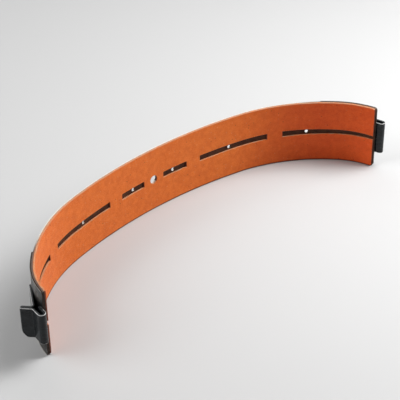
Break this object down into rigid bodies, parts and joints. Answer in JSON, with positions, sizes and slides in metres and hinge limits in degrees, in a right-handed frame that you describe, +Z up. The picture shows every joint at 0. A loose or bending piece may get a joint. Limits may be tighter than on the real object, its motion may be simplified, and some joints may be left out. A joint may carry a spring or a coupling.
{
  "type": "transmission brake band",
  "caption": "Sprung-open lined steel brake band: curved strap, slotted friction lining, and an end plate with a folded strut lug at each end.",
  "frame": {"origin": "middle of the footprint on the surface that the band stands on", "axes": "+X from the anchor end to the apply end along the chord, -Y the open, lined side, +Z up across the band's width"},
  "size_m": [0.3036, 0.0738, 0.045],
  "materials": {
    "strap_steel": "cold-rolled spring steel strip, grey-brown, oiled, with bright sheared edges",
    "friction_lining": "orange-brown resin-bonded friction paper, matt, finely fibrous and mottled",
    "doubler_steel": "grey cold-rolled steel plate with shallow spot weld marks and bright burred edges",
    "lug_steel": "black oxide on formed sheet steel, satin, with bright sheared edges"
  },
  "bodies": {
    "anchor_end": {"backing_strap": "strap_steel", "friction_lining": "friction_lining", "anchor_doubler": "doubler_steel", "anchor_lug": "lug_steel"},
    "apply_end": {"apply_doubler": "doubler_steel", "apply_lug": "lug_steel"}
  },
  "joints": [
    {"name": "band_flex", "type": "hinge", "parent": "anchor_end", "child": "apply_end", "pos_m": [0, 0.03609, 0.0225], "axis": [0, 0, -1], "range_deg": [-10, 45], "stiffness_Nm_per_rad": 1.5, "deforming": ["backing_strap", "friction_lining"]}
  ]
}
